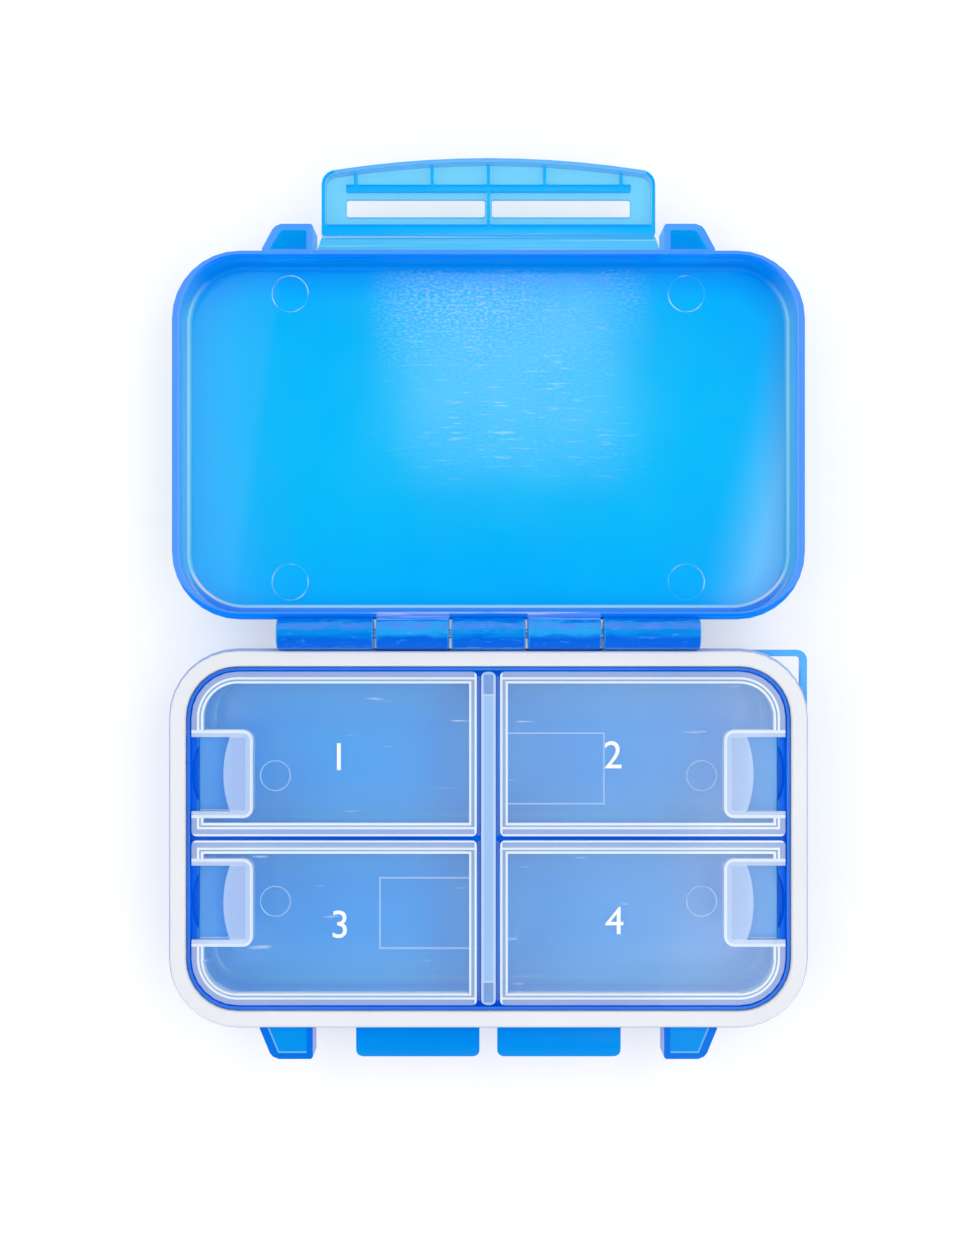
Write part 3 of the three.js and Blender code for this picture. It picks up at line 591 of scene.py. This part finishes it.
def well_plastic():
    """Inside of the wells, painted paler near their walls: painted light for the light that the
    walls pass on.
    """
    plastic = Plastic("well_blue", srgb(0, 176, 255), srgb(2, 182, 255), 0.12, 0.03)
    tree = plastic.tree
    across, along, _ = place_parts(tree)
    x = number(tree, "ABSOLUTE", across)
    y = number(tree, "ABSOLUTE", along)
    right = number(tree, "SUBTRACT", x, WELL_END)
    up = number(tree, "SUBTRACT", y, WELL_SIDE - 2 * MM)
    to_wall = strongest(
        tree,
        corner_distance(tree, right, up, WELL_CORNER),
        number(tree, "SUBTRACT", WELL_START[0], x),
        number(tree, "SUBTRACT", WELL_START[1], y),
    )
    # Painted light: paler towards the walls and corners of the wells
    plastic.add_colour(ramp(tree, to_wall, -7 * MM, 0.0, 0.0, 1.0), srgb(70, 198, 255))
    return plastic.finish(BASE_TINT, 0.98)


# Places on a small lid, from the middle of the box
RIB_END = SMALL_END - 1.1 * MM
RIB_FAR = SMALL_FAR - 1.13 * MM
RIB_NEAR = 1.72 * MM
RIB_START = SMALL_START + 1.1 * MM
RIB_WIDTH = 0.66 * MM
RIB_CORNER = 6.6 * MM
POCKET_MIDDLE = 10.74 * MM
POCKET_HALF = 7.35 * MM
POCKET_START = SMALL_END - 10.25 * MM
POCKET_WALL = 1.25 * MM
POCKET_LEVEL = SMALL_TOP - 1.2 * MM  # only the floor of a pocket lies lower
POCKET_CORNER = 1.7 * MM
TAB_REACH = 3.7 * MM
TAB_BOW = 1.1 * MM
BRIGHT_LINE = 0.36 * MM

# Faint frames that inserts of the mould have left: middle and half size along X and Y
FRAME_MARKS = (
    (10.4 * MM, 11.67 * MM, 8.9 * MM, 5.9 * MM),
    (-9.45 * MM, -12.5 * MM, 8.7 * MM, 5.88 * MM),
)


def frame_line(tree, across, along, middle_x, middle_y, half_x, half_y):
    x = number(tree, "ABSOLUTE", number(tree, "SUBTRACT", across, middle_x))
    y = number(tree, "ABSOLUTE", number(tree, "SUBTRACT", along, middle_y))
    outside = strongest(
        tree, number(tree, "SUBTRACT", x, half_x), number(tree, "SUBTRACT", y, half_y)
    )
    return line_at(tree, outside, 0.0, 0.2 * MM)


def small_lid_haze(tree):
    """How milky a small lid looks: its flat middle, with a painted sheen that grows towards the
    right, its border, its ribs and its pocket, with painted highlight lines along the edges of its
    ribs and of the lid.
    """
    across, along, z = place_parts(tree)
    x = number(tree, "ABSOLUTE", across)
    y = number(tree, "ABSOLUTE", along)
    corner = corner_distance(
        tree, number(tree, "SUBTRACT", x, RIB_END), number(tree, "SUBTRACT", y, RIB_FAR), RIB_CORNER
    )
    near = number(tree, "SUBTRACT", RIB_NEAR, y)
    outer = strongest(tree, corner, near)
    inner = strongest(
        tree,
        number(tree, "ADD", corner, RIB_WIDTH),
        number(tree, "ADD", near, RIB_WIDTH),
        number(tree, "SUBTRACT", RIB_START, x),
    )
    # Pale lines along the edges of the ribs and of the lid: painted highlights
    lines = strongest(
        tree,
        line_at(tree, outer, 0.0, BRIGHT_LINE),
        line_at(tree, inner, 0.0, BRIGHT_LINE),
        line_at(tree, x, SMALL_START + 0.2 * MM, BRIGHT_LINE),
        line_at(tree, y, SMALL_NEAR + 0.15 * MM, 0.3 * MM),
    )
    border = number(tree, "GREATER_THAN", inner, 0.0)
    lid_face = strongest(tree, all_of(tree, border, 0.36), all_of(tree, lines, 0.88))

    aside = number(tree, "ABSOLUTE", number(tree, "SUBTRACT", y, POCKET_MIDDLE))
    pocket = corner_distance(
        tree,
        number(tree, "SUBTRACT", POCKET_START, x),
        number(tree, "SUBTRACT", aside, POCKET_HALF),
        POCKET_CORNER,
    )
    off_pocket = number(tree, "GREATER_THAN", pocket, 0.0)
    in_wall = number(tree, "COMPARE", pocket, -POCKET_WALL / 2, POCKET_WALL / 2)
    wall_line = line_at(tree, pocket, -0.25 * MM, 0.5 * MM)
    high = number(tree, "GREATER_THAN", z, POCKET_LEVEL)
    within = number(tree, "LESS_THAN", pocket, -POCKET_WALL)
    bow = all_of(tree, aside, aside, TAB_BOW / POCKET_HALF**2)
    tab_edge = number(tree, "SUBTRACT", POCKET_START + POCKET_WALL + TAB_REACH, bow)
    on_tab = all_of(tree, high, number(tree, "LESS_THAN", x, tab_edge), within)
    in_pocket = all_of(tree, number(tree, "SUBTRACT", 1.0, high), within)
    marks = [frame_line(tree, across, along, *place) for place in FRAME_MARKS]
    # Painted sheen: the middle grows milkier towards the right
    to_right = ramp(tree, across, -40 * MM, 40 * MM, 0.0, 1.0)
    flat = all_of(tree, high, ramp(tree, to_right, 0, 1, 0.07, 0.17))
    scuffs = ramp(tree, cloudy(tree, 1.0, 3.0, (70, 800, 1)), 0.66, 0.74, 0.0, 0.5)
    haze = strongest(
        tree,
        all_of(tree, lid_face, off_pocket),
        all_of(tree, in_wall, 0.56),
        all_of(tree, wall_line, 0.78),
        all_of(tree, on_tab, 0.36),
        all_of(tree, strongest(tree, *marks), 0.42),
        all_of(tree, in_pocket, 0.48),
        all_of(tree, high, scuffs),
        number(tree, "MAXIMUM", flat, 0.05),
    )
    # Colour of the pocket: paler towards the right as a painted sheen, and paler towards the outer
    # end
    pocket_colour = blended(tree, to_right, srgb(80, 168, 255), srgb(152, 202, 255))
    to_end = ramp(tree, x, 43 * MM, 48.5 * MM, 0.0, 0.6)
    pocket_colour = blended(tree, to_end, pocket_colour, srgb(128, 204, 255))
    return haze, in_pocket, pocket_colour


def clear_lid_plastic():
    plastic = Plastic("clear_small_lid", srgb(205, 226, 255), srgb(212, 231, 255), 0.08, 0.02)
    haze, in_pocket, pocket_colour = small_lid_haze(plastic.tree)
    plastic.add_colour(in_pocket, pocket_colour)
    plastic.add_colour(ramp(plastic.tree, haze, 0.5, 0.8, 0.0, 0.8), srgb(236, 246, 255))
    return plastic.finish(CLEAR_TINT, haze)


FILM_LINES = (14.0, 1500.0)  # how finely they change along X and along Y


def film_plastic():
    """Film of the latch, with fine pale lines along its bend as painted highlights."""
    plastic = Plastic("flap_film", srgb(40, 194, 255), srgb(56, 200, 255), 0.12, 0.03)
    tree = plastic.tree
    across = number(tree, "MULTIPLY", place_parts(tree)[0], FILM_LINES[0])
    rest = tree.nodes.new("ShaderNodeAttribute")
    rest.attribute_name = "rest_y"
    along = number(tree, "MULTIPLY", rest.outputs["Fac"], FILM_LINES[1])
    place = tree.nodes.new("ShaderNodeCombineXYZ")
    tree.links.new(across, place.inputs["X"])
    tree.links.new(along, place.inputs["Y"])
    glint_lines = tree.nodes.new("ShaderNodeTexNoise")
    glint_lines.inputs["Scale"].default_value = 1.0
    tree.links.new(place.outputs["Vector"], glint_lines.inputs["Vector"])
    # Painted highlights: fine pale lines along the bend
    lines = ramp(tree, glint_lines.outputs["Fac"], 0.5, 0.68, 0.0, 0.6)
    plastic.add_colour(lines, srgb(225, 240, 255))
    return plastic.finish(FLAP_TINT, ramp(tree, lines, 0, 0.6, 0.4, 0.7))


# Places on the spine of the small lids
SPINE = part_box("divider_spine")
PEG_START = 24.1 * MM
SPINE_EDGE = SPINE[1].x - 0.3 * MM


def spine_plastic():
    """Its end pegs look darker through the bar, with a light outline."""
    plastic = Plastic("clear_spine", srgb(166, 204, 255), srgb(171, 208, 255), 0.12, 0.03)
    tree = plastic.tree
    across, along, _ = place_parts(tree)
    x = number(tree, "ABSOLUTE", across)
    y = number(tree, "ABSOLUTE", along)
    in_peg = window(tree, y, PEG_START, SPINE[1].y - 0.5 * MM, 0.05 * MM)
    in_peg = all_of(tree, in_peg, number(tree, "LESS_THAN", x, SPINE_EDGE))
    plastic.add_colour(all_of(tree, in_peg, 0.8), srgb(118, 160, 222))
    edges = strongest(
        tree,
        line_at(tree, x, SPINE_EDGE, 0.3 * MM),
        line_at(tree, y, PEG_START - 0.15 * MM, 0.3 * MM),
    )
    plastic.add_colour(all_of(tree, edges, 0.6), srgb(215, 230, 255))
    return plastic.finish(CLEAR_TINT, 0.85)


def steel():
    material, tree, output = new_material("pin_steel")
    metal = tree.nodes.new("ShaderNodeBsdfPrincipled")
    metal.inputs["Metallic"].default_value = 1.0
    # Painted reflection of the blue plastic around the pin, in lines along it with pale painted
    # glints
    glint_lines = ramp(tree, cloudy(tree, 900.0, 2.0, (0.05, 1, 1)), 0.3, 0.7, 0.0, 1.0)
    shade = blended(tree, glint_lines, srgb(30, 140, 225), srgb(170, 222, 248))
    tree.links.new(shade, metal.inputs["Base Color"])
    metal.inputs["Roughness"].default_value = 0.3
    tree.links.new(metal.outputs["BSDF"], output.inputs["Surface"])
    return material


def mark_plastic(name, least, most):
    """Ring of a mark of the mould, painted pale as a painted highlight on its edge, brighter in
    some stretches than in others.
    """
    plastic = Plastic(name, srgb(195, 234, 255), srgb(205, 238, 255), 0.1, 0.0)
    tree = plastic.tree
    shown = ramp(tree, cloudy(tree, 260.0, 1.0), 0.46, 0.62, least, most)
    return plastic.finish(CLEAR_TINT, shown)


LID_MARK = mark_plastic("lid_mark", 0.08, 0.95)
SMALL_LID_MARK = mark_plastic("small_lid_mark", 0.3, 0.5)
LID_BLUE = lid_plastic("lid_blue", 0.33)
LID_WALL = lid_plastic("lid_wall", 0.1)
# Tops of the lid's lugs, in the lit colour of the rim: painted light
LID_EDGE = tinted_plastic("lid_edge", (72, 146, 255), (80, 152, 255), LID_TINT, 0.85)
LID_LUG = tinted_plastic("lid_lug", (0, 170, 255), (0, 178, 255), LUG_TINT, 0.3)
LID_KNUCKLE = knuckle_plastic("lid_knuckle", (24, 160, 240), (32, 166, 244), LID_TINT, 0.9)
BASE_BLUE = tinted_plastic("base_blue", (0, 130, 242), (0, 137, 247), BASE_TINT, 0.92)
BASE_GROOVE = tinted_plastic("base_groove", (0, 104, 240), (0, 110, 245), BASE_TINT, 0.92, 0.08)
BASE_KNUCKLE = knuckle_plastic("base_knuckle", (0, 138, 228), (0, 144, 233), BASE_TINT, 0.92)
BASE_FRONT = base_front_plastic()
BASE_EDGE = tinted_plastic("base_edge", (40, 124, 246), (52, 132, 250), BASE_TINT, 0.85, 0.15)
BASE_RIM = tinted_plastic("base_rim", (165, 185, 232), (172, 190, 235), BASE_TINT, 0.9)
BASE_LOOP = tinted_plastic("base_loop", (60, 175, 252), (70, 182, 255), LID_TINT, 0.7)
WELL_BLUE = well_plastic()
FLAP_PALE = tinted_plastic("flap_pale", (140, 220, 255), (148, 224, 255), FLAP_TINT, 0.24)
FLAP_DEEP = tinted_plastic("flap_deep", (0, 168, 255), (4, 174, 255), LUG_TINT, 0.62)
FLAP_EDGE = tinted_plastic("flap_edge", (96, 180, 255), (104, 186, 255), FLAP_TINT, 0.7)
FLAP_FILM = film_plastic()
CLEAR_FILM = tinted_plastic("clear_film", (200, 220, 255), (210, 226, 255), CLEAR_TINT, 0.07)
CLEAR_LID = clear_lid_plastic()
CLEAR_SPINE = spine_plastic()
SEAL_WHITE = solid_plastic("seal_white", (222, 225, 231), (226, 229, 235), 0.55, 0.12)
INK_WHITE = solid_plastic("ink_white", (242, 245, 250), (238, 242, 248), 0.45, 0.03)
PIN_STEEL = steel()


# Camera, light and ground

def make_camera():
    camera = bpy.data.cameras.new("camera")
    camera.sensor_fit = "HORIZONTAL"
    camera.sensor_width = SENSOR
    camera.lens = SENSOR * LENS_PER_WIDTH
    camera.clip_start = 10 * MM
    holder = bpy.data.objects.new("camera", camera)
    holder.location = CAMERA_AT
    bpy.context.scene.collection.objects.link(holder)
    bpy.context.scene.camera = holder


def make_softbox(name, middle, size, brightness, turn=0.0):
    """A level lamp that looks as bright as brightness, turned about the upright axis."""
    lamp = bpy.data.lights.new(name, "AREA")
    lamp.shape = "RECTANGLE"
    lamp.size, lamp.size_y = size
    lamp.energy = brightness * math.pi * size[0] * size[1]
    holder = bpy.data.objects.new(name, lamp)
    holder.location = middle
    holder.rotation_euler = (0, 0, math.radians(turn))
    bpy.context.scene.collection.objects.link(holder)


def make_world():
    """A pale room whose ceiling is darker than its walls."""
    world = bpy.data.worlds.new("studio")
    bpy.context.scene.world = world
    world.use_nodes = True
    tree = world.node_tree
    light = tree.nodes["Background"]
    light.inputs["Color"].default_value = (1.0, 1.0, 1.0, 1)
    direction = tree.nodes.new("ShaderNodeTexCoord")
    parts = tree.nodes.new("ShaderNodeSeparateXYZ")
    tree.links.new(direction.outputs["Generated"], parts.inputs["Vector"])
    tree.links.new(ramp(tree, parts.outputs["Z"], 0.3, 0.95, 1.3, 0.05), light.inputs["Strength"])


LIT_THROUGH = (0.05, 0.45, 1.0, 1)
GROUND_NEAR = 0.3  # distances over which the ground turns white
GROUND_FAR = 0.8


def make_ground():
    """Pale ground, painted bluish under and beside the hinge: painted light for the light that
    comes through blue plastic.
    """
    bpy.ops.mesh.primitive_grid_add(x_subdivisions=4, y_subdivisions=4, size=4.0)
    ground = bpy.context.object
    ground.name = "ground"
    material, tree, output = new_material("white_ground")
    paper = tree.nodes.new("ShaderNodeBsdfPrincipled")
    paper.inputs["Roughness"].default_value = 0.9
    paper.inputs["Specular IOR Level"].default_value = 0.1
    path = tree.nodes.new("ShaderNodeLightPath")
    seen = strongest(
        tree,
        path.outputs["Is Camera Ray"],
        path.outputs["Is Glossy Ray"],
        path.outputs["Is Transmission Ray"],
    )
    across, y, _ = place_parts(tree)
    to_right = number(tree, "SIGN", across)
    x = number(tree, "ABSOLUTE", across)
    # Painted bluish light on the ground under the hinge and, fainter, beside it
    under_hinge = all_of(
        tree,
        ramp(tree, x, 34 * MM, 40 * MM, 1.0, 0.0),
        window(tree, y, 31 * MM, 38 * MM, 4 * MM),
        0.3,
    )
    beside_hinge = all_of(
        tree,
        ramp(tree, x, 44 * MM, 60 * MM, 1.0, 0.0),
        window(tree, y, 30 * MM, 42 * MM, 6 * MM),
        ramp(tree, to_right, -1, 1, 0.1, 0.03),
    )
    bluish = strongest(tree, under_hinge, beside_hinge)
    distance = number(tree, "SQRT", square_sum(tree, x, y))
    far = ramp(tree, distance, GROUND_NEAR, GROUND_FAR, 0.0, 1.0)
    paler = blended(tree, far, (0.52, 0.52, 0.52, 1), (0.04, 0.04, 0.04, 1))
    shade = blended(tree, seen, (0.77, 0.77, 0.77, 1), paler)
    tree.links.new(blended(tree, bluish, shade, LIT_THROUGH), paper.inputs["Base Color"])
    tree.links.new(blended(tree, bluish, WHITE, LIT_THROUGH), paper.inputs["Emission Color"])
    glow = all_of(tree, seen, ramp(tree, far, 0, 1, 0.52, 1.0))
    tree.links.new(glow, paper.inputs["Emission Strength"])
    tree.links.new(paper.outputs["BSDF"], output.inputs["Surface"])
    paint(ground, material)


make_camera()
make_world()
make_softbox("softbox_right", (0.435, 0.05, 1.0), (0.5, 1.2), 2.6, -14.0)
make_softbox("softbox_left", (-0.58, 0.15, 1.0), (0.84, 1.0), 1.5, 4.0)
make_softbox("lamp_top", (0.019, 0.203, 1.0), (0.13, 0.12), 5.4)
nothing_selected()
make_ground()


# Mouldings

EDGE = 0.12 * MM
FINE_EDGE = 0.08 * MM
WELL_FLOOR = 1.4 * MM
WELL_TOP = 16.4 * MM
UPSTAND_TOP = SMALL_TOP
RIM_TOP = 17.0 * MM
GROOVE_INSET = 1.5 * MM  # the groove of the seal and all within it
GROOVE_FLOOR = 8 * MM
FLAP_PANEL = FLAP[0].z + 1.25 * MM
FLAP_SIDE = FLAP[1].x - 1.3 * MM
FLAP_TIP = FLAP[1].y - 4 * MM
NEAR = 0.05 * MM

BASE_LOOKS = {
    "plain": BASE_BLUE,
    "well": WELL_BLUE,
    "hinge": BASE_KNUCKLE,
    "front": BASE_FRONT,
    "upstand": BASE_EDGE,
    "loop": BASE_LOOP,
    "rim": BASE_RIM,
    "groove": BASE_GROOVE,
}
LID_LOOKS = {
    "floor": LID_BLUE,
    "lug_top": LID_EDGE,
    "lug": LID_LUG,
    "hinge": LID_KNUCKLE,
    "wall": LID_WALL,
}
FLAP_LOOKS = {"panel": FLAP_PALE, "bar": FLAP_DEEP, "edge": FLAP_EDGE}


def base_zone(middle, normal):
    x, y, z = abs(middle.x), middle.y, middle.z
    if x < WELL_END and abs(y) < WELL_SIDE and WELL_FLOOR < z < WELL_TOP:
        return "well" if normal.z > -0.5 else "plain"
    past_x = max(x - BASE_HALF_LENGTH + BASE_CORNER, 0)
    past_y = max(abs(y) - BASE_HALF_WIDTH + BASE_CORNER, 0)
    outside = math.hypot(past_x, past_y) - BASE_CORNER
    if past_x and y > 0 and outside > NEAR:
        return "loop"
    if y < -BASE_HALF_WIDTH - NEAR:
        return "front"
    if y > BASE_HALF_WIDTH + NEAR:
        return "hinge"
    if z > UPSTAND_TOP - 3 * NEAR and normal.z > 0.6:
        return "upstand"
    if abs(z - RIM_TOP) < 4 * NEAR and normal.z > 0.3:
        return "rim"
    return "groove" if outside < -GROOVE_INSET and z > GROOVE_FLOOR else "plain"


def lid_zone(middle, normal):
    if middle.y < LID_BACK - 2 * NEAR:
        return "hinge"
    if middle.y > LID_FRONT + 2 * NEAR:
        return "lug_top" if middle.z > LID_RIM - 4 * NEAR and normal.z > 0.8 else "lug"
    inward = normal.x * middle.x + normal.y * (middle.y - LID_MIDDLE) < 0
    above = middle.z > LID_FLOOR + 0.02 * MM
    return "wall" if above and (inward or normal.z > 0.3) else "floor"


def flap_zone(middle, normal):
    x, y, z = abs(middle.x), middle.y, middle.z
    if z < FLAP_PANEL and abs(normal.z) > 0.5:
        return "panel"
    on_tip = y > FLAP_TIP and (z > FLAP[1].z - 0.6 * MM or abs(normal.y) > 0.5)
    return "edge" if x > FLAP_SIDE or on_tip else "bar"


base = finished_moulding("base_shell", "base_moulding", "base", EDGE)
paint_zones(base, BASE_LOOKS, base_zone)
lid = finished_moulding("lid_shell", "lid_moulding", "lid", EDGE)
paint_zones(lid, LID_LOOKS, lid_zone)
latch = finished_moulding("latch_flap", "latch_moulding", "latch", EDGE)
paint_zones(latch, FLAP_LOOKS, flap_zone)
paint(finished_moulding("gasket", "seal_ring", "base", EDGE), SEAL_WHITE)
spine = finished_moulding("divider_spine", "inner_spine", "base", EDGE)
paint(spine, CLEAR_SPINE)
for which in (1, 2, 3, 4):
    small_lid = finished_moulding(
        f"compartment_lid_{which}",
        f"inner_lid_moulding_{which}",
        f"inner_lid_{which}",
        FINE_EDGE,
    )
    paint(small_lid, CLEAR_LID)
    paint(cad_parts[f"lid_film_{which}"], CLEAR_FILM)
film = bending_film("latch_film", "latch_bend_film")
paint(film, FLAP_FILM)
paint(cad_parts["hinge_pin"], PIN_STEEL)


# Printed numbers and marks of the mould

NUMBER_HEIGHT = 4.8 * MM
PRINT_THICKNESS = 0.02 * MM
NUMBER_PLACES = {
    1: (-25.0 * MM, 13.4 * MM),
    2: (20.8 * MM, 13.7 * MM),
    3: (-24.8 * MM, -14.6 * MM),
    4: (21.1 * MM, -14.0 * MM),
}
LETTER_CAP = 0.729  # height of a figure over the size of the font

# Middles of the ring marks of the lid and the small lids, and their sizes
SMALL_MARK_X = 35.6 * MM
SMALL_MARK_Y = 10.5 * MM
SMALL_MARK_RADIUS = 2.5 * MM
LID_MARK_X = 34 * MM
LID_MARK_BACK = 43 * MM
LID_MARK_FRONT = 92.5 * MM
LID_MARK_RADIUS = 3.1 * MM
MARK_THICKNESS = 0.09 * MM


def printed_number(which):
    x, y = NUMBER_PLACES[which]
    bpy.ops.object.text_add(location=(x, y, SMALL_TOP))
    figure = bpy.context.object
    figure.name = f"printed_number_{which}"
    figure.data.body = str(which)
    figure.data.align_x = "CENTER"
    figure.data.align_y = "CENTER"
    figure.data.size = NUMBER_HEIGHT / LETTER_CAP
    figure.data.extrude = PRINT_THICKNESS
    bpy.ops.object.convert(target="MESH")
    place_applied(figure)
    paint(figure, INK_WHITE)
    return declare(figure, f"inner_lid_{which}")


def ring_mark(name, middle, radius, body, material):
    """Faint ring that an ejector pin of the mould has left."""
    bpy.ops.mesh.primitive_torus_add(
        location=middle,
        major_radius=radius,
        minor_radius=MARK_THICKNESS,
        major_segments=56,
        minor_segments=8,
    )
    ring = bpy.context.object
    ring.name = name
    place_applied(ring)
    pick(ring)
    bpy.ops.object.shade_smooth()
    paint(ring, material)
    return declare(ring, body)


for which in (1, 2, 3, 4):
    printed_number(which)
    side = -1 if which in (1, 3) else 1
    at_back = which in (1, 2)
    ring_mark(
        f"small_lid_mark_{which}",
        (side * SMALL_MARK_X, SMALL_MARK_Y if at_back else -SMALL_MARK_Y, SMALL_TOP - 0.05 * MM),
        SMALL_MARK_RADIUS,
        f"inner_lid_{which}",
        SMALL_LID_MARK,
    )
    ring_mark(
        f"lid_mark_{which}",
        (side * LID_MARK_X, LID_MARK_FRONT if at_back else LID_MARK_BACK, LID_FLOOR - 0.04 * MM),
        LID_MARK_RADIUS,
        "lid",
        LID_MARK,
    )

bpy.context.scene.view_settings.view_transform = "Standard"
